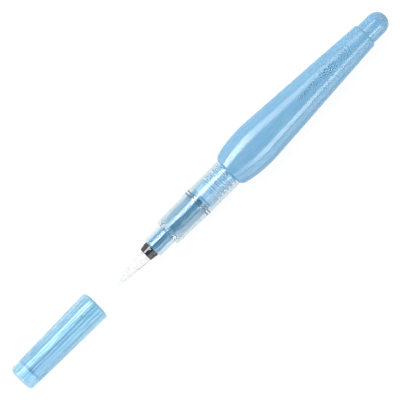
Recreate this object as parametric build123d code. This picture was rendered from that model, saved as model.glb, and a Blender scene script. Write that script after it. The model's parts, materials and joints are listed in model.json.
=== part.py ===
from build123d import *
import os
from math import cos, pi, sin, sqrt

# Water brush pen, laid out with its cap off, in millimetres.
# The pen lies along X: the cap is at -X, the squeeze bottle's tail at +X, and +Z is up.
# The origin is at the middle of the layout, on the surface that it lies on.
# Stations are distances from the cap's closed end, and to_frame moves a finished piece into the frame.

# Lengths along the pen, in the order that the pieces lie
CAP_LENGTH = 42.2
CAP_GAP = 7.7                # from the laid-off cap's mouth to the tip of the tuft
TUFT_LENGTH = 19.7
FERRULE_LENGTH = 3.6
NOZZLE_LENGTH = 8.2
SLEEVE_LENGTH = 16.6         # to the middle of the front seam
SEAM_PITCH = 1.2             # from the front seam to the rear one
COLLAR_LENGTH = 16.0
COLLAR_GAP = 0.3             # between the collar and the bottle's shoulder
BOTTLE_LENGTH = 76.6         # shoulder to tail step
NUB_LENGTH = 10.6

# Stations
TUFT_TIP = CAP_LENGTH + CAP_GAP
FERRULE_FRONT = TUFT_TIP + TUFT_LENGTH
NOZZLE_FRONT = FERRULE_FRONT + FERRULE_LENGTH
STEP = NOZZLE_FRONT + NOZZLE_LENGTH
FRONT_SEAM = STEP + SLEEVE_LENGTH
REAR_SEAM = FRONT_SEAM + SEAM_PITCH
COLLAR_REAR = REAR_SEAM + COLLAR_LENGTH
SHOULDER = COLLAR_REAR + COLLAR_GAP
TAIL_STEP = SHOULDER + BOTTLE_LENGTH
TAIL_END = TAIL_STEP + NUB_LENGTH

# Cap
AXIS_HEIGHT = 6.45           # the cap's mouth and the bottle's bulb both touch the surface
CAP_MOUTH_R = AXIS_HEIGHT
CAP_END_R = 5.65
CAP_END_WALL = 1.2
CAP_END_ROUNDING = 1.6
CAP_MOUTH_ROUNDING = 0.9
CAP_FLUTES = 30
FLUTE_CUTTER_R = 0.45
FLUTE_END_DEPTH = 0.32
FLUTE_MOUTH_DEPTH = 0.16
LINER_BORE_R = 4.7
LINER_R = 5.05
LINER_FRONT = 5.2
LINER_END_WALL = 0.9
LINER_SETBACK = 0.3          # the liner stops short of the cap's mouth

# Tuft and ferrule
TUFT_R = 3.03
TUFT_FULLNESS = 1.75         # exponent of the tuft's outline
TUFT_NECK_SETBACK = 0.8      # the free tuft narrows just before the ferrule's mouth
TUFT_BALL_R = 2.45           # the free tuft turns on a ball inside the ferrule
BALL_CLEARANCE = 0.1
FERRULE_FRONT_R = 2.97
FERRULE_REAR_R = 3.5
FERRULE_BORE_R = 2.6
FERRULE_NOTCHES = 6
STEM_R = 2.0                 # the ferrule's stem, held in the core's nose
STEM_BORE_R = 1.2
STEM_LENGTH = 3.3
SOCKET_CLEARANCE = 0.03
ROOT_LENGTH = 3.3

# Clear nozzle, sleeve, ring and collar
NOZZLE_R = 4.6
NOZZLE_BORE_R = 3.0
NOZZLE_ROUNDING = 0.8
SLEEVE_FRONT_R = 5.93
SLEEVE_REAR_R = 6.37
SLEEVE_BORE_R = 4.9
COLLAR_R = 6.4
FLANGE_WIDTH = 0.5
RING_GAP = 0.08

# Feed core and wick
CORE_NOSE_R = 2.95
CORE_FIN_R = 4.5
CORE_BOSS_R = 4.6
CORE_BOSS_FRONT = 96.5
CORE_REAR = REAR_SEAM + 1.0
FIN_COUNT = 16
FIN_PITCH = 0.8
FIN_WIDTH = 0.42
FIN_DEPTH = 1.5
FIN_START = STEP + 2.4
CONE_LENGTH = 6.6
WICK_R = 1.0
CHANNEL_WIDTH = 1.4          # shallow air channel along the nose, with ribs across it
CHANNEL_DEPTH = 0.35
GROOVE_WIDTH = 0.28          # deeper groove along each side of the channel
GROOVE_DEPTH = 0.75
CHANNEL_TURN = 7             # degrees from the top towards -Y
RIB_COUNT = 14
RIB_THICKNESS = 0.25

# Thread between the collar and the bottle's neck
THREAD_PITCH = 2.0
THREAD_TURNS = 5
THREAD_START = REAR_SEAM + 5.2
NECK_R = 4.3
NECK_CREST_R = 4.9
COLLAR_ROOT_R = 5.05
COLLAR_CREST_R = 4.45
THREAD_BASE = 0.9
THREAD_TOP = 0.5

# Bottle
NECK_MOUTH = REAR_SEAM + 2.0
NECK_BORE_R = 3.45
WALL = 1.0
SHOULDER_R = 6.45
BULB_HALF_WIDTH = 9.31
BULB_HALF_HEIGHT = AXIS_HEIGHT
BULB_DISTANCE = 14.7         # from the shoulder to the widest place
SHOULDER_DROP = 0.1          # the shoulder's top is this much lower than the bulb's
SHOULDER_ROUNDNESS = 1.75    # exponent of the outline from the shoulder to the widest place
FACE_HALF_WIDTH = 6.1        # a 45 degree bevel runs back from the shoulder's front face
FACE_HALF_HEIGHT = 5.75
FRONT_WALL = 1.8             # thicker than the sides, behind the bevel
TAIL_R = 5.35
TAIL_CHAMFER = 0.8
NUB_R = 4.65
PLUG_FLANGE_R = 4.2
PLUG_ORIFICE_R = 1.0


def to_frame(shape):
    """Move a piece from stations along its own axis into the part's frame."""
    return Pos(-TAIL_END / 2, 0, AXIS_HEIGHT) * shape


def turned(*corners):
    """Solid of revolution about the axis. A corner is (station, radius) or (station, radius, rounding)."""
    points = [corner[:2] for corner in corners]
    roundings = [corner[2] if len(corner) == 3 else 0 for corner in corners]
    return revolve(make_face(FilletPolyline(*points, radius=roundings, close=True)), axis=Axis.X)


def thread(start, turns, root, crest):
    """Helical ridge from the root radius to the crest radius, outward or inward."""
    path = Helix(THREAD_PITCH, THREAD_PITCH * turns, root, center=(start, 0, 0), direction=(1, 0, 0))
    outward = 1 if crest > root else -1
    plane = Plane(origin=path @ 0, x_dir=(1, 0, 0), z_dir=(0, -1, 0))
    buried = -0.1 * outward
    height = crest - root
    half_base, half_top = THREAD_BASE / 2, THREAD_TOP / 2
    ridge = Polyline(
        (-half_base, buried), (half_base, buried), (half_top, height), (-half_top, height), close=True
    )
    return sweep(plane * make_face(ridge), path=path, is_frenet=True)


# Cap

def cap_shell():
    """Ribbed outer shell of the cap, closed at the front and open at the mouth."""
    shell = turned(
        (0, 0),
        (0, CAP_END_R, CAP_END_ROUNDING),
        (CAP_LENGTH, CAP_MOUTH_R, CAP_MOUTH_ROUNDING),
        (CAP_LENGTH, LINER_R),
        (CAP_END_WALL, LINER_R, 0.6),
        (CAP_END_WALL, 0),
    )
    front = (0, 0, CAP_END_R + FLUTE_CUTTER_R - FLUTE_END_DEPTH)
    rear = (CAP_LENGTH, 0, CAP_MOUTH_R + FLUTE_CUTTER_R - FLUTE_MOUTH_DEPTH)
    run = Vector(rear) - Vector(front)
    cutter = Plane(origin=Vector(front) + run * 0.5, z_dir=run) * Cylinder(FLUTE_CUTTER_R, run.length + 4)
    turn = 360 / CAP_FLUTES
    return shell - [Rot(turn * (i + 0.5), 0, 0) * cutter for i in range(CAP_FLUTES)]


def cap_liner():
    """Inner sleeve of the cap, which slides over the nozzle."""
    rear = CAP_LENGTH - LINER_SETBACK
    floor = LINER_FRONT + LINER_END_WALL
    return turned(
        (LINER_FRONT, 0),
        (LINER_FRONT, LINER_R),
        (rear, LINER_R),
        (rear, LINER_BORE_R),
        (floor, LINER_BORE_R),
        (floor, 0),
    )


# Tuft and ferrule

def tuft_radius(distance):
    """Radius of the tuft at a distance from its tip."""
    return TUFT_R * (1 - (1 - distance / TUFT_LENGTH) ** TUFT_FULLNESS)


def tuft_tip():
    """Free part of the tuft: a pointed body with a ball heel inside the ferrule."""
    free = TUFT_LENGTH - TUFT_NECK_SETBACK
    steps = 8
    outline = [(TUFT_TIP + free * i / steps, tuft_radius(free * i / steps)) for i in range(steps + 1)]
    side = Spline(*outline)
    neck_angle = 75 * pi / 180
    neck = (FERRULE_FRONT - TUFT_BALL_R * cos(neck_angle), TUFT_BALL_R * sin(neck_angle))
    heel = (FERRULE_FRONT + TUFT_BALL_R, 0)
    ball = ThreePointArc(neck, (FERRULE_FRONT, TUFT_BALL_R), heel)
    profile = side + Line(outline[-1], neck) + ball + Line(heel, outline[0])
    return revolve(make_face(profile), axis=Axis.X)


def tuft_root():
    """Fused heel of the filaments, with the socket that the free tuft turns in."""
    radius = FERRULE_BORE_R - 0.15
    socket_r = TUFT_BALL_R + BALL_CLEARANCE
    rear = FERRULE_FRONT + ROOT_LENGTH
    stem_rear = NOZZLE_FRONT + STEM_LENGTH - 0.1
    rim = (FERRULE_FRONT + sqrt(socket_r ** 2 - radius ** 2), radius)
    floor = (FERRULE_FRONT + socket_r, 0)
    middle = (FERRULE_FRONT + socket_r * sqrt(0.5), socket_r * sqrt(0.5))
    heel = Polyline(rim, (rear, radius), (rear, STEM_BORE_R), (stem_rear, STEM_BORE_R), (stem_rear, 0), floor)
    return revolve(make_face(heel + ThreePointArc(floor, middle, rim)), axis=Axis.X)


def brush_ferrule():
    """Tapered ferrule with a stem, and notches round its rear half."""
    rear = NOZZLE_FRONT - 0.05
    seat = FERRULE_FRONT + ROOT_LENGTH
    stem_rear = NOZZLE_FRONT + STEM_LENGTH
    root_r = FERRULE_BORE_R - 0.15
    ferrule = turned(
        (FERRULE_FRONT, FERRULE_BORE_R),
        (FERRULE_FRONT, FERRULE_FRONT_R, 0.12),
        (rear, FERRULE_REAR_R, 0.12),
        (rear, STEM_R),
        (stem_rear, STEM_R, 0.2),
        (stem_rear, STEM_BORE_R),
        (seat, STEM_BORE_R),
        (seat, root_r),
        (FERRULE_FRONT + 1.2, root_r),
        (FERRULE_FRONT + 1.2, FERRULE_BORE_R),
    )
    notch = Pos(rear - 1.4, 0, FERRULE_REAR_R) * Rot(0, 0, -40) * Box(2.6, 0.5, 0.7)
    turn = 360 / FERRULE_NOTCHES
    return ferrule - [Rot(turn * (i - 0.25), 0, 0) * notch for i in range(FERRULE_NOTCHES)]


# Clear front pieces

def nose_sleeve():
    """Clear nozzle and sleeve in one piece, round the feed core."""
    rear = FRONT_SEAM - FLANGE_WIDTH / 2
    return turned(
        (NOZZLE_FRONT, NOZZLE_BORE_R, 0.2),
        (NOZZLE_FRONT, NOZZLE_R, NOZZLE_ROUNDING),
        (STEP, NOZZLE_R, 0.15),
        (STEP, SLEEVE_FRONT_R, 0.95),
        (rear, SLEEVE_REAR_R, 0.1),
        (rear, SLEEVE_BORE_R),
        (STEP + 2.2, SLEEVE_BORE_R, 0.8),
        (STEP + 0.6, NOZZLE_BORE_R),
    )


def spacer_ring():
    """Loose clear ring between the core's two flanges."""
    front = FRONT_SEAM + FLANGE_WIDTH / 2 + RING_GAP
    rear = REAR_SEAM - FLANGE_WIDTH / 2 - RING_GAP
    bore = CORE_BOSS_R + 0.1
    return turned((front, bore), (front, SLEEVE_REAR_R), (rear, SLEEVE_REAR_R), (rear, bore))


def thread_collar():
    """Clear collar behind the seams, with the female thread."""
    front = REAR_SEAM + FLANGE_WIDTH / 2
    collar = turned(
        (front, CORE_BOSS_R + 0.05),
        (front, SLEEVE_REAR_R, 0.1),
        (COLLAR_REAR, COLLAR_R, 0.3),
        (COLLAR_REAR, COLLAR_ROOT_R),
        (CORE_REAR + 0.3, COLLAR_ROOT_R),
        (CORE_REAR + 0.3, CORE_BOSS_R + 0.05),
    )
    start = THREAD_START + THREAD_PITCH / 2
    return collar + thread(start, THREAD_TURNS - 0.5, COLLAR_ROOT_R, COLLAR_CREST_R)


# Feed

def core_radius(station):
    """Outer radius of the feed core between its nose and its boss."""
    grown = min(1, max(0, (station - STEP) / CONE_LENGTH))
    return CORE_NOSE_R + (CORE_FIN_R - CORE_NOSE_R) * grown


def feed_core():
    """Finned core: nose with two ring grooves, cone, fins, and a boss with two thin flanges."""
    front = NOZZLE_FRONT + 0.4
    outline = [(front, WICK_R), (front, CORE_NOSE_R)]
    for groove in (NOZZLE_FRONT + 3.75, NOZZLE_FRONT + 5.55):
        outline += [(groove, CORE_NOSE_R), (groove, CORE_NOSE_R - 0.35)]
        outline += [(groove + 0.35, CORE_NOSE_R - 0.35), (groove + 0.35, CORE_NOSE_R)]
    outline += [(STEP, CORE_NOSE_R)]
    for i in range(FIN_COUNT):
        fin = FIN_START + FIN_PITCH * i
        root = core_radius(fin) - FIN_DEPTH
        outline += [(fin, root), (fin, core_radius(fin))]
        outline += [(fin + FIN_WIDTH, core_radius(fin + FIN_WIDTH)), (fin + FIN_WIDTH, root)]
    outline += [(CORE_BOSS_FRONT, CORE_FIN_R - FIN_DEPTH), (CORE_BOSS_FRONT, CORE_BOSS_R)]
    for seam in (FRONT_SEAM, REAR_SEAM):
        flange_front, flange_rear = seam - FLANGE_WIDTH / 2, seam + FLANGE_WIDTH / 2
        outline += [(flange_front, CORE_BOSS_R), (flange_front, SLEEVE_REAR_R)]
        outline += [(flange_rear, SLEEVE_REAR_R), (flange_rear, CORE_BOSS_R)]
    outline += [(CORE_REAR, CORE_BOSS_R), (CORE_REAR, WICK_R)]
    core = revolve(make_face(Polyline(*outline, close=True)), axis=Axis.X)
    socket_r = STEM_R + SOCKET_CLEARANCE
    socket = Pos(front + STEM_LENGTH / 2, 0, 0) * Rot(0, 90, 0) * Cylinder(socket_r, STEM_LENGTH)
    length = STEP + 0.8 - front
    pitch = length / (RIB_COUNT + 1)
    channel = Box(length, CHANNEL_WIDTH, 2 * CHANNEL_DEPTH)
    channel -= [Pos(pitch * (i + 1) - length / 2, 0, 0) * Box(RIB_THICKNESS, 2, 2) for i in range(RIB_COUNT)]
    groove_y = (CHANNEL_WIDTH - GROOVE_WIDTH) / 2
    channel += [Pos(0, y, 0) * Box(length, GROOVE_WIDTH, 2 * GROOVE_DEPTH) for y in (-groove_y, groove_y)]
    return core - socket - Rot(CHANNEL_TURN, 0, 0) * Pos(front + length / 2, 0, CORE_NOSE_R) * channel


def feed_wick():
    """Porous rod through the core."""
    front = NOZZLE_FRONT + STEM_LENGTH + 0.5
    rear = CORE_REAR - 0.4
    return Pos((front + rear) / 2, 0, 0) * Rot(0, 90, 0) * Cylinder(WICK_R, rear - front)


# Squeeze bottle

def bottle_stations(first, last):
    """Distances from the shoulder for the bottle's cross-sections: close together at the round front."""
    front = [BULB_DISTANCE * (1 - cos(pi / 2 * i / 6)) for i in range(7)]
    steps = 9
    rear = [BULB_DISTANCE + (last - BULB_DISTANCE) * i / steps for i in range(1, steps + 1)]
    return [first] + [distance for distance in front + rear if distance > first + 0.3]


def half_width(distance):
    """Half the bottle's width: a rounded shoulder to the bulb, then a long easing taper."""
    if distance < BULB_DISTANCE:
        left = (1 - distance / BULB_DISTANCE) ** SHOULDER_ROUNDNESS
        return SHOULDER_R + (BULB_HALF_WIDTH - SHOULDER_R) * (1 - left) ** (1 / SHOULDER_ROUNDNESS)
    ease = 2.8
    past, length = distance - BULB_DISTANCE, BOTTLE_LENGTH - BULB_DISTANCE
    return BULB_HALF_WIDTH - (BULB_HALF_WIDTH - TAIL_R) * past ** 2 / (past + ease) * (length + ease) / length ** 2


def half_height(distance):
    """Half the bottle's height: almost level to the bulb, then down until the section is round."""
    if distance < BULB_DISTANCE:
        return BULB_HALF_HEIGHT - SHOULDER_DROP * (1 - distance / BULB_DISTANCE) ** 2
    flatness = BULB_HALF_HEIGHT / BULB_HALF_WIDTH
    past = (distance - BULB_DISTANCE) / (BOTTLE_LENGTH - TAIL_CHAMFER - BULB_DISTANCE)
    return half_width(distance) * (flatness + (1 - flatness) * min(1, past) ** 1.3)


def bottle_form(inset, first, last):
    """Oval body between two distances from the shoulder, inset by a wall thickness."""
    sections = []
    for distance in bottle_stations(first, last):
        plane = Plane(origin=(SHOULDER + distance, 0, 0), x_dir=(0, 1, 0), z_dir=(1, 0, 0))
        sections.append(plane * Ellipse(half_width(distance) - inset, half_height(distance) - inset))
    return loft(sections)


def oval_cone(front, rear):
    """Cone that the shoulder's bevel lies on, between two stations."""
    sections = []
    for station in (front, rear):
        grown = station - SHOULDER
        plane = Plane(origin=(station, 0, 0), x_dir=(0, 1, 0), z_dir=(1, 0, 0))
        sections.append(plane * Ellipse(FACE_HALF_WIDTH + grown, FACE_HALF_HEIGHT + grown))
    return loft(sections, ruled=True)


def tail_nub(inset, front):
    """Round tail with a domed end, inset by a wall thickness."""
    radius = NUB_R - inset
    dome_centre = TAIL_END - NUB_R
    rod = Pos((front + dome_centre) / 2, 0, 0) * Rot(0, 90, 0) * Cylinder(radius, dome_centre - front)
    return rod + Pos(dome_centre, 0, 0) * Sphere(radius)


def reservoir_bottle():
    """Hollow squeeze bottle with its threaded neck and its tail nub."""
    body_end = BOTTLE_LENGTH - TAIL_CHAMFER
    tail_taper = turned(
        (SHOULDER + body_end, 0),
        (SHOULDER + body_end, half_height(body_end)),
        (TAIL_STEP, NUB_R),
        (TAIL_STEP, 0),
    )
    body = bottle_form(0, 0, body_end)
    bevel = Pos(SHOULDER + 2, 0, 0) * Box(6, 40, 40) - oval_cone(SHOULDER - 1, SHOULDER + 5)
    neck_rear = SHOULDER + FRONT_WALL / 2
    neck = turned((NECK_MOUTH, 0), (NECK_MOUTH, NECK_R, 0.2), (neck_rear, NECK_R), (neck_rear, 0))
    outside = body - bevel + tail_taper + tail_nub(0, TAIL_STEP - 1) + neck
    bore_front, bore_rear = NECK_MOUTH - 1, SHOULDER + FRONT_WALL + 1
    bore = turned((bore_front, 0), (bore_front, NECK_BORE_R), (bore_rear, NECK_BORE_R), (bore_rear, 0))
    cavity = bottle_form(WALL, FRONT_WALL, body_end - WALL) + tail_nub(WALL, TAIL_STEP - 3) + bore
    return outside - cavity + thread(THREAD_START, THREAD_TURNS, NECK_R, NECK_CREST_R)


def neck_plug():
    """Metering plug pressed into the bottle's mouth."""
    front = NECK_MOUTH - 0.7
    rear = NECK_MOUTH + 2.6
    return turned(
        (front, PLUG_ORIFICE_R),
        (front, PLUG_FLANGE_R, 0.2),
        (NECK_MOUTH, PLUG_FLANGE_R),
        (NECK_MOUTH, NECK_BORE_R),
        (rear, NECK_BORE_R, 0.3),
        (rear, PLUG_ORIFICE_R),
    )


PIECES = [
    cap_shell,
    cap_liner,
    tuft_tip,
    tuft_root,
    brush_ferrule,
    nose_sleeve,
    spacer_ring,
    thread_collar,
    feed_core,
    feed_wick,
    neck_plug,
    reservoir_bottle,
]

os.makedirs("parts", exist_ok=True)
for piece in PIECES:
    export_step(to_frame(piece()), f"parts/{piece.__name__}.step")
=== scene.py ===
"""Looks for the water brush pen: materials, tuft, the bottle's raised marks, floor, lights and camera."""

import json
import math
import random

import bmesh
import bpy
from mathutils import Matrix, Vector
from mathutils.bvhtree import BVHTree


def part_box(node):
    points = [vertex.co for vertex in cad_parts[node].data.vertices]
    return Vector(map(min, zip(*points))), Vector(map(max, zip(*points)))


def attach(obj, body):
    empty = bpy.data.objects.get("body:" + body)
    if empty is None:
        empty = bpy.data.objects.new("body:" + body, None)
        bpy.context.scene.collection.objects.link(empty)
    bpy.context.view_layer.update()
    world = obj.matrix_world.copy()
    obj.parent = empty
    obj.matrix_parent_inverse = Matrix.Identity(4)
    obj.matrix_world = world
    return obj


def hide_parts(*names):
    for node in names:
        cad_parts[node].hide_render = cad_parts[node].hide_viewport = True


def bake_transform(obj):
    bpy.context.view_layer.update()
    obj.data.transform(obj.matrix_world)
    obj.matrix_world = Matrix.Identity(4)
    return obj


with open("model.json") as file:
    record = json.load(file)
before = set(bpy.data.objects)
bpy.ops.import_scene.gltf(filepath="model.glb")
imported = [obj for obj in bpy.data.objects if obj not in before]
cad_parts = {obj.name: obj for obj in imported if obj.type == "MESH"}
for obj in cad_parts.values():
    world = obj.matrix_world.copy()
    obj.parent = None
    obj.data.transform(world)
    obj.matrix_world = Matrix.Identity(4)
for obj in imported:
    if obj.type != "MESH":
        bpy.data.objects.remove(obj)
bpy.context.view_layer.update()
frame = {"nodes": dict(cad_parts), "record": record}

MM = 0.001

# The pen's axis is parallel to X, over y = 0
AXIS_Z = (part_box("spacer_ring")[0].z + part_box("spacer_ring")[1].z) / 2

# Tuft: its tip, the ferrule's mouth, and the outline that the CAD solid has.
# The root is the filaments' end inside the ferrule.
TUFT_TIP_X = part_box("tuft_tip")[0].x
FERRULE_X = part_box("brush_ferrule")[0].x
TUFT_LENGTH = FERRULE_X - TUFT_TIP_X
TUFT_R = 3.03 * MM
TUFT_FULLNESS = 1.75
TUFT_WIDEST = TUFT_LENGTH - 0.8 * MM
TUFT_ROOT_R = 2.4 * MM
TUFT_ROOT = TUFT_LENGTH + 1.0 * MM

# Filaments
FILAMENT_COUNT = 420
FILAMENT_R = 0.115 * MM
FILAMENT_TIP_R = 0.022 * MM
FILAMENT_TAPER = 9 * MM
FILAMENT_SIDES = 5
FILAMENT_STEPS = 20
FILAMENT_SHORTENING = 7 * MM       # how far behind the tip the shortest ones end
FILAMENT_DRIFT = 0.12              # most that one strays round the axis, in radians
HEART_SHARE = 0.86                 # radius of the tuft's solid heart as a share of the tuft's
HEART_TIP_SETBACK = 0.6 * MM
HEART_SIDES = 40
HEART_STEPS = 30

# Cap: the liner's thick end wall and the shell's dark rim, along the pen
LINER_END_WALL = 0.9 * MM
RIM_LENGTH = 0.3 * MM

# Core: past this radius, at its two flanges, the core's colour is darkened as painted shade of the dark
# seam lines between the parts
PAINTED_SEAM_SHADE_R = 4.8 * MM

# A tint changes from one colour to the other over this length
TINT_EDGE = 0.08 * MM

# Raised marks on the bottle's top, where each row starts behind the collar
MARK_WIDTH = 0.42 * MM
MARK_HEIGHT = 0.26 * MM
MARK_LINE_Y = 0.7 * MM
DROPLETS_AT = 41.3 * MM
DROPLET_COUNT = 4
DROPLET_PITCH = 2.45 * MM
DROPLET_SIZE = 1.9 * MM
DROPLET_POINTS = 28
RIPPLES_AT = 56.0 * MM             # to the middle of the ripples
RIPPLE_LENGTH = 7.4 * MM
RIPPLE_SWING = 0.28 * MM
RIPPLE_PITCH = 0.95 * MM
RIPPLE_POINTS = 36
BARS_AT = 63.0 * MM
BAR_COUNT = 4
BAR_PITCH = 1.5 * MM
BAR_LEAN = 0.5 * MM
BAR_HALF_HEIGHT = 1.2 * MM

# Stage
FLOOR_HALF_WIDTH = 6
SOFTBOX_DISTANCE = 1.2
WORLD_STRENGTH = 2.0
VIEW_WIDTH = 157.2 * MM            # how much of the layout the view spans
VIEW_CENTRE = (-1.45 * MM, 0.12 * MM)
VIEW_TURN = -45                    # degrees
LENS = 400                         # a long lens, in mm

# Softboxes: name, lean in degrees from the vertical towards +Y, width in degrees, the ends' X, radiance
SOFTBOXES = (
    ("key_softbox", 38, 28, (-0.6, 0.07), 13),
    ("tail_key_softbox", 38, 28, (0.07, 0.35), 3.5),
    ("front_fill_softbox", -40, 20, (-0.6, 0.014), 2.5),
    ("rear_fill_softbox", -40, 20, (0.014, 0.17), 8.5),
    ("tail_fill_softbox", -40, 20, (0.17, 0.45), 4),
    ("side_softbox", -78, 40, (-0.5, 0.5), 1.6),
)


# Node helpers


def new_material(name, slot_finish):
    """A material with one Principled shader, whose plain values are set on the shader's own sockets."""
    material = bpy.data.materials.new(name)
    material.use_nodes = True
    shader = material.node_tree.nodes["Principled BSDF"]
    for socket, value in slot_finish.items():
        shader.inputs[socket].default_value = value
    return material, material.node_tree, shader


def object_coordinates(tree, stretch=(1, 1, 1)):
    """Object coordinates, scaled per axis, for patterns that stay with the piece."""
    coordinates = tree.nodes.new("ShaderNodeTexCoord")
    mapping = tree.nodes.new("ShaderNodeMapping")
    mapping.inputs["Scale"].default_value = stretch
    tree.links.new(coordinates.outputs["Object"], mapping.inputs["Vector"])
    return mapping.outputs["Vector"]


def noise(tree, vector, scale, detail=2.0, roughness=0.5):
    """Noise texture; scale is in features per metre."""
    texture = tree.nodes.new("ShaderNodeTexNoise")
    texture.inputs["Scale"].default_value = scale
    texture.inputs["Detail"].default_value = detail
    texture.inputs["Roughness"].default_value = roughness
    tree.links.new(vector, texture.inputs["Vector"])
    return texture.outputs["Fac"]


def ramp(tree, factor, stops):
    """Colour ramp from (position, colour) stops."""
    node = tree.nodes.new("ShaderNodeValToRGB")
    elements = node.color_ramp.elements
    while len(elements) < len(stops):
        elements.new(0.5)
    for element, (position, colour) in zip(elements, stops):
        element.position = position
        element.color = (*colour, 1)
    tree.links.new(factor, node.inputs["Fac"])
    return node.outputs["Color"]


def spread(tree, factor, low, high):
    """Maps a 0.3 to 0.7 noise factor to low to high."""
    node = tree.nodes.new("ShaderNodeMapRange")
    node.inputs["From Min"].default_value = 0.3
    node.inputs["From Max"].default_value = 0.7
    node.inputs["To Min"].default_value = low
    node.inputs["To Max"].default_value = high
    tree.links.new(factor, node.inputs["Value"])
    return node.outputs["Result"]


def bump(tree, height, distance, strength=1.0, normal=None):
    """Bump from a height factor, where distance is the relief's depth in metres."""
    node = tree.nodes.new("ShaderNodeBump")
    node.inputs["Strength"].default_value = strength
    node.inputs["Distance"].default_value = distance
    tree.links.new(height, node.inputs["Height"])
    if normal is not None:
        tree.links.new(normal, node.inputs["Normal"])
    return node.outputs["Normal"]


# Materials


def moulded_plastic(name, colours, finish, rough=(0.2, 0.3), grain=0.00001, streak=(120, 700, 700)):
    """Moulded plastic: slow colour drift along the flow, uneven gloss and a faint surface grain."""
    material, tree, shader = new_material(name, finish)
    flow = object_coordinates(tree, streak)
    drift = noise(tree, flow, 1.0, detail=3.0)
    tree.links.new(ramp(tree, drift, [(0.3, colours[0]), (0.7, colours[1])]), shader.inputs["Base Color"])
    plain = object_coordinates(tree)
    tree.links.new(spread(tree, noise(tree, plain, 350), *rough), shader.inputs["Roughness"])
    tree.links.new(bump(tree, noise(tree, plain, 1800, detail=3.0), grain), shader.inputs["Normal"])
    return material


def lit_through(material, tint):
    """Lets the lamps' light through the plastic with its tint, so that what is inside is lit."""
    tree = material.node_tree
    path = tree.nodes.new("ShaderNodeLightPath")
    clear = tree.nodes.new("ShaderNodeBsdfTransparent")
    clear.inputs["Color"].default_value = (*tint, 1)
    mix = tree.nodes.new("ShaderNodeMixShader")
    tree.links.new(path.outputs["Is Shadow Ray"], mix.inputs[0])
    tree.links.new(tree.nodes["Principled BSDF"].outputs["BSDF"], mix.inputs[1])
    tree.links.new(clear.outputs["BSDF"], mix.inputs[2])
    tree.links.new(mix.outputs["Shader"], tree.nodes["Material Output"].inputs["Surface"])
    return material


def math_node(tree, operation, first, second=0.0):
    """Math node on a socket and a plain value or a second socket."""
    node = tree.nodes.new("ShaderNodeMath")
    node.operation = operation
    tree.links.new(first, node.inputs[0])
    if isinstance(second, float):
        node.inputs[1].default_value = second
    else:
        tree.links.new(second, node.inputs[1])
    return node.outputs["Value"]


def tint_past(tree, value, limit, colour):
    """Another base colour where a value in metres is past a limit."""
    shader = tree.nodes["Principled BSDF"]
    place = tree.nodes.new("ShaderNodeMapRange")
    place.inputs["From Min"].default_value = limit - TINT_EDGE / 2
    place.inputs["From Max"].default_value = limit + TINT_EDGE / 2
    tree.links.new(value, place.inputs["Value"])
    mix = tree.nodes.new("ShaderNodeMix")
    mix.data_type = "RGBA"
    mix.inputs["B"].default_value = (*colour, 1)
    tree.links.new(place.outputs["Result"], mix.inputs["Factor"])
    tree.links.new(shader.inputs["Base Color"].links[0].from_socket, mix.inputs["A"])
    tree.links.new(mix.outputs["Result"], shader.inputs["Base Color"])


def place_along(tree):
    """The X of each point, along the pen."""
    parts = tree.nodes.new("ShaderNodeSeparateXYZ")
    tree.links.new(object_coordinates(tree), parts.inputs["Vector"])
    return parts.outputs["X"]


def distance_from_axis(tree):
    """The distance of each point from the pen's axis."""
    parts = tree.nodes.new("ShaderNodeSeparateXYZ")
    tree.links.new(object_coordinates(tree), parts.inputs["Vector"])
    height = math_node(tree, "SUBTRACT", parts.outputs["Z"], AXIS_Z)
    squares = math_node(tree, "MULTIPLY", height, height)
    width = math_node(tree, "MULTIPLY", parts.outputs["Y"], parts.outputs["Y"])
    return math_node(tree, "SQRT", math_node(tree, "ADD", squares, width))


def bottle_plastic():
    """Light blue blown polyethylene: milky, softly glossy, and paler at the thin neck."""
    finish = {"IOR": 1.5, "Transmission Weight": 0.2, "Subsurface Weight": 0.3, "Subsurface Scale": 0.004}
    plastic = moulded_plastic(
        "bottle_plastic",
        [(0.145, 0.325, 0.49), (0.172, 0.36, 0.525)],
        finish,
        rough=(0.14, 0.19),
        grain=0.000004,
    )
    tree = plastic.node_tree
    ahead = math_node(tree, "MULTIPLY", place_along(tree), -1.0)
    tint_past(tree, ahead, -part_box("thread_collar")[1].x, (0.36, 0.49, 0.60))
    return plastic


def cap_plastic():
    """Light blue translucent plastic of the cap."""
    finish = {
        "IOR": 1.22, "Transmission Weight": 0.93,
        "Coat Weight": 1.0, "Coat Roughness": 0.04, "Coat IOR": 1.45,
    }
    plastic = moulded_plastic(
        "cap_plastic",
        [(0.42, 0.64, 0.75), (0.46, 0.67, 0.78)],
        finish,
        rough=(0.077, 0.09),
        grain=0.000002,
    )
    tree = plastic.node_tree
    tint_past(tree, place_along(tree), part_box("cap_shell")[1].x - RIM_LENGTH, (0.2, 0.42, 0.52))
    return lit_through(plastic, (0.7, 0.84, 0.9))


def liner_plastic():
    """The cap's inner sleeve, deeper blue at its thick end wall."""
    finish = {"IOR": 1.1, "Transmission Weight": 0.95}
    plastic = moulded_plastic(
        "liner_plastic",
        [(0.70, 0.83, 0.87), (0.74, 0.86, 0.90)],
        finish,
        rough=(0.04, 0.08),
        grain=0.000002,
    )
    tree = plastic.node_tree
    ahead = math_node(tree, "MULTIPLY", place_along(tree), -1.0)
    tint_past(tree, ahead, -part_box("cap_liner")[0].x - LINER_END_WALL, (0.03, 0.33, 0.58))
    return lit_through(plastic, (0.8, 0.9, 0.94))


def clear_plastic():
    """Clear plastic of the nozzle, sleeve, ring and collar."""
    finish = {
        "IOR": 1.2, "Transmission Weight": 0.98,
        "Coat Weight": 1.0, "Coat Roughness": 0.03, "Coat IOR": 1.25,
    }
    plastic = moulded_plastic(
        "clear_plastic",
        [(0.58, 0.69, 0.75), (0.62, 0.73, 0.79)],
        finish,
        rough=(0.01, 0.03),
        grain=0.000002,
    )
    return lit_through(plastic, (0.85, 0.91, 0.94))


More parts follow.
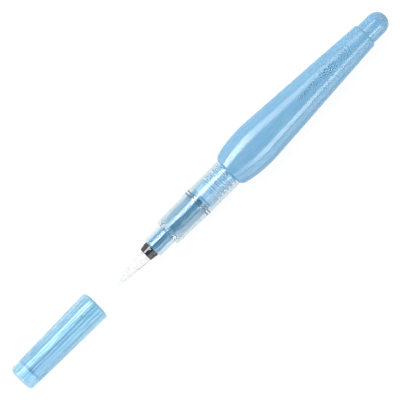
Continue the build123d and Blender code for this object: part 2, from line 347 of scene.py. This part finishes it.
def core_plastic():
    """Dark blue plastic of the finned core, with painted shade: its flanges are coloured darker to stand
    for the dark seam lines between the parts.
    """
    plastic = moulded_plastic(
        "core_plastic", [(0.070, 0.21, 0.31), (0.085, 0.24, 0.35)], {"IOR": 1.9}, rough=(0.1, 0.16)
    )
    tree = plastic.node_tree
    # painted shade: past this radius the flanges get a darker colour for the shaded seams between the
    # parts
    tint_past(tree, distance_from_axis(tree), PAINTED_SEAM_SHADE_R, (0.025, 0.095, 0.15))
    return plastic


def plug_plastic():
    """Mid-blue plastic of the metering plug."""
    return moulded_plastic(
        "plug_plastic", [(0.05, 0.24, 0.42), (0.07, 0.28, 0.48)], {"IOR": 1.5}, rough=(0.3, 0.4)
    )


def black_plastic():
    """Glossy black plastic of the ferrule."""
    return moulded_plastic(
        "black_plastic",
        [(0.008, 0.013, 0.016), (0.012, 0.019, 0.023)],
        {"IOR": 1.55},
        rough=(0.08, 0.14),
        grain=0.000002,
    )


def nylon_filament():
    """White nylon filaments: satin, with fine streaks along them."""
    finish = {"IOR": 1.53, "Subsurface Weight": 0.15, "Subsurface Scale": 0.0005}
    return moulded_plastic(
        "nylon_filament",
        [(0.70, 0.70, 0.71), (0.80, 0.80, 0.81)],
        finish,
        rough=(0.3, 0.45),
        grain=0.000002,
        streak=(60, 4000, 4000),
    )


def wick_fibre():
    """Pale porous fibre of the wick."""
    return moulded_plastic(
        "wick_fibre", [(0.6, 0.6, 0.58), (0.75, 0.75, 0.73)], {"IOR": 1.4}, rough=(0.7, 0.9), grain=0.00008
    )


MATERIALS = {
    "bottle_plastic": bottle_plastic(),
    "cap_plastic": cap_plastic(),
    "liner_plastic": liner_plastic(),
    "clear_plastic": clear_plastic(),
    "core_plastic": core_plastic(),
    "plug_plastic": plug_plastic(),
    "black_plastic": black_plastic(),
    "nylon_filament": nylon_filament(),
    "wick_fibre": wick_fibre(),
}


def dress_nodes():
    """Gives every CAD node the material of its slot."""
    for subpart in frame["record"]["subparts"]:
        node = frame["nodes"][subpart["node"]]
        node.data.materials.clear()
        node.data.materials.append(MATERIALS[subpart["material_slot"]])


# Tuft


def add_piece(name, form, material, body=None):
    """Links a finished bmesh as a piece with one material, riding on a body."""
    mesh = bpy.data.meshes.new(name)
    form.to_mesh(mesh)
    form.free()
    for polygon in mesh.polygons:
        polygon.use_smooth = True
    piece = bpy.data.objects.new(name, mesh)
    bpy.context.scene.collection.objects.link(piece)
    mesh.materials.append(MATERIALS[material])
    if body:
        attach(piece, body)
    return piece


def loft_rings(form, rings, closed=False):
    """Skins a list of rings of points, with caps on the open ends."""
    loops = [[form.verts.new(point) for point in ring] for ring in rings]
    count = len(loops[0])
    pairs = list(zip(loops, loops[1:]))
    if closed:
        pairs.append((loops[-1], loops[0]))
    for one, other in pairs:
        for i in range(count):
            j = (i + 1) % count
            form.faces.new((one[i], one[j], other[j], other[i]))
    if not closed:
        form.faces.new(reversed(loops[0]))
        form.faces.new(loops[-1])


def tuft_radius(distance):
    """The tuft's outer radius at a distance from its tip, in to the ferrule's bore at the root."""
    free = min(distance, TUFT_WIDEST)
    radius = TUFT_R * (1 - (1 - free / TUFT_LENGTH) ** TUFT_FULLNESS)
    if distance > TUFT_WIDEST:
        part = (distance - TUFT_WIDEST) / (TUFT_ROOT - TUFT_WIDEST)
        radius += (TUFT_ROOT_R - radius) * part * part * (3 - 2 * part)
    return radius


def filament_rings(rank, angle, end, drift):
    """Rings of one filament, from the root to its own tip. Rank is its share of the tuft's radius."""
    rings = []
    for step in range(FILAMENT_STEPS + 1):
        part = step / FILAMENT_STEPS
        distance = TUFT_ROOT + (end - TUFT_ROOT) * (part * 0.7 + 0.3 * math.sin(part * math.pi / 2))
        own = min(1, (distance - end) / FILAMENT_TAPER)
        radius = FILAMENT_TIP_R + (FILAMENT_R - FILAMENT_TIP_R) * own
        offset = rank * max(0, tuft_radius(distance) - radius)
        turn = angle + drift * math.sin(2.2 * part)
        x, y, z = TUFT_TIP_X + distance, offset * math.cos(turn), AXIS_Z + offset * math.sin(turn)
        ring = []
        for side in range(FILAMENT_SIDES):
            around = turn + 2 * math.pi * side / FILAMENT_SIDES
            ring.append((x, y + radius * math.cos(around), z + radius * math.sin(around)))
        rings.append(ring)
    return rings


def make_tuft():
    """Pointed tuft: a solid heart inside, and filaments that run to the point at their own lengths."""
    draw = random.Random(11)
    golden = math.pi * (3 - math.sqrt(5))
    form = bmesh.new()
    for i in range(FILAMENT_COUNT):
        rank = math.sqrt((i + 0.5) / FILAMENT_COUNT)
        end = draw.uniform(0, FILAMENT_SHORTENING) * rank ** 3
        drift = draw.uniform(-FILAMENT_DRIFT, FILAMENT_DRIFT)
        loft_rings(form, filament_rings(rank, i * golden, end, drift))
    filaments = add_piece("tuft_filaments", form, "nylon_filament")

    form = bmesh.new()
    turns = [2 * math.pi * side / HEART_SIDES for side in range(HEART_SIDES)]
    rings = []
    for step in range(HEART_STEPS + 1):
        part = step / HEART_STEPS
        distance = TUFT_ROOT * part ** 1.4 + HEART_TIP_SETBACK * (1 - part)
        radius = HEART_SHARE * tuft_radius(distance)
        rings.append(
            [(TUFT_TIP_X + distance, radius * math.cos(t), AXIS_Z + radius * math.sin(t)) for t in turns]
        )
    loft_rings(form, rings)
    heart = add_piece("tuft_heart", form, "nylon_filament")

    for piece in (filaments, heart):
        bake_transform(piece)
    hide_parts("tuft_tip")


# Raised marks


def droplet(size):
    """Closed outline of a droplet that points along -X, around the origin."""
    points = []
    for i in range(DROPLET_POINTS):
        t = 2 * math.pi * i / DROPLET_POINTS
        points.append((size * -0.6 * math.cos(t), size * 0.62 * math.sin(t) * math.sin(t / 2) ** 1.5))
    return points


def ripple(length):
    """Open line of three waves along X, around the origin."""
    parts = [i / RIPPLE_POINTS for i in range(RIPPLE_POINTS + 1)]
    return [(length * (part - 0.5), RIPPLE_SWING * math.sin(6 * math.pi * part)) for part in parts]


def bead_rings(skin, path, closed):
    """Rings of a low half-round bead that lies on the bottle along a path of (x, y) points."""
    spots = []
    for x, y in path:
        place, normal, _, _ = skin.ray_cast(Vector((x, y, 0.05)), Vector((0, 0, -1)))
        spots.append((place, normal))
    rings = []
    count = len(spots)
    for i, (place, normal) in enumerate(spots):
        before = spots[i - 1][0] if i or closed else place
        after = spots[(i + 1) % count][0] if i + 1 < count or closed else place
        side = normal.cross(after - before).normalized()
        ring = [place + side * (MARK_WIDTH / 2) - normal * MARK_HEIGHT]
        for step in range(7):
            turn = math.pi * step / 6
            across, up = MARK_WIDTH / 2 * math.cos(turn), MARK_HEIGHT * math.sin(turn)
            ring.append(place + side * across + normal * up)
        ring.append(place - side * (MARK_WIDTH / 2) - normal * MARK_HEIGHT)
        rings.append(ring)
    return rings


def make_marks():
    """Generic raised marks along the bottle: droplets, ripples and slanted bars."""
    skin = BVHTree.FromObject(frame["nodes"]["reservoir_bottle"], bpy.context.evaluated_depsgraph_get())
    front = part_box("thread_collar")[1].x
    form = bmesh.new()
    paths = []
    for i in range(DROPLET_COUNT):
        centre = front + DROPLETS_AT + DROPLET_PITCH * i
        paths.append(([(centre + x, MARK_LINE_Y + y) for x, y in droplet(DROPLET_SIZE)], True))
    for row in (-1, 0, 1):
        centre = front + RIPPLES_AT
        y_row = MARK_LINE_Y + row * RIPPLE_PITCH
        paths.append(([(centre + x, y_row + y) for x, y in ripple(RIPPLE_LENGTH)], False))
    for i in range(BAR_COUNT):
        x_bar = front + BARS_AT + BAR_PITCH * i
        bar = [(x_bar + BAR_LEAN * t, MARK_LINE_Y + BAR_HALF_HEIGHT * t) for t in (-1, -0.5, 0, 0.5, 1)]
        paths.append((bar, False))
    for path, closed in paths:
        loft_rings(form, bead_rings(skin, path, closed), closed)
    bmesh.ops.recalc_face_normals(form, faces=form.faces)
    add_piece("bottle_marks", form, "bottle_plastic", "reservoir")


# Stage, lights and camera


def make_floor():
    """Plain pale floor, which glows a little so that it stays white under the soft light."""
    mesh = bpy.data.meshes.new("floor")
    form = bmesh.new()
    bmesh.ops.create_grid(form, x_segments=1, y_segments=1, size=FLOOR_HALF_WIDTH)
    form.to_mesh(mesh)
    form.free()
    floor = bpy.data.objects.new("floor", mesh)
    bpy.context.scene.collection.objects.link(floor)
    finish = {
        "Base Color": (0.1, 0.1, 0.1, 1), "Roughness": 0.7,
        "Emission Color": (1, 1, 1, 1), "Emission Strength": 0.88,
    }
    material, _, _ = new_material("floor_white", finish)
    mesh.materials.append(material)


def make_softbox(name, lean, spread_angle, span, radiance):
    """Long softbox parallel to the pen. Its angles are in radians, and span is its ends' X."""
    width = 2 * SOFTBOX_DISTANCE * math.tan(spread_angle / 2)
    data = bpy.data.lights.new(name, "AREA")
    data.shape = "RECTANGLE"
    length = span[1] - span[0]
    data.size, data.size_y = length, width
    data.energy = radiance * math.pi * length * width
    light = bpy.data.objects.new(name, data)
    across, up = SOFTBOX_DISTANCE * math.sin(lean), SOFTBOX_DISTANCE * math.cos(lean)
    light.location = (sum(span) / 2, across, AXIS_Z + up)
    light.rotation_euler = (-lean, 0, 0)
    light.visible_camera = False
    bpy.context.scene.collection.objects.link(light)


def make_world():
    """White studio with a darker ceiling."""
    world = bpy.data.worlds.new("studio")
    world.use_nodes = True
    tree = world.node_tree
    coordinates = tree.nodes.new("ShaderNodeTexCoord")
    parts = tree.nodes.new("ShaderNodeSeparateXYZ")
    tree.links.new(coordinates.outputs["Generated"], parts.inputs["Vector"])
    greys = [(0.0, 0.75), (0.4, 0.75), (0.62, 0.3), (0.85, 0.11)]
    sky = ramp(tree, parts.outputs["Z"], [(height, (grey, grey, grey)) for height, grey in greys])
    tree.links.new(sky, tree.nodes["Background"].inputs["Color"])
    tree.nodes["Background"].inputs["Strength"].default_value = WORLD_STRENGTH
    bpy.context.scene.world = world


def make_camera():
    """Long lens straight overhead, turned so that the pen runs from the lower left to the upper right."""
    data = bpy.data.cameras.new("camera")
    data.lens = LENS
    distance = VIEW_WIDTH * data.lens / data.sensor_width
    camera = bpy.data.objects.new("camera", data)
    camera.location = (*VIEW_CENTRE, AXIS_Z + distance)
    camera.rotation_euler = (0, 0, math.radians(VIEW_TURN))
    data.clip_start, data.clip_end = 0.01, 20
    bpy.context.scene.collection.objects.link(camera)
    bpy.context.scene.camera = camera


dress_nodes()
make_tuft()
make_marks()
make_floor()
for name, lean, spread_angle, span, radiance in SOFTBOXES:
    make_softbox(name, math.radians(lean), math.radians(spread_angle), span, radiance)
make_world()
make_camera()

bpy.context.scene.view_settings.view_transform = "Standard"
bpy.context.scene.cycles.use_denoising = True
bpy.context.scene.cycles.filter_width = 1.1
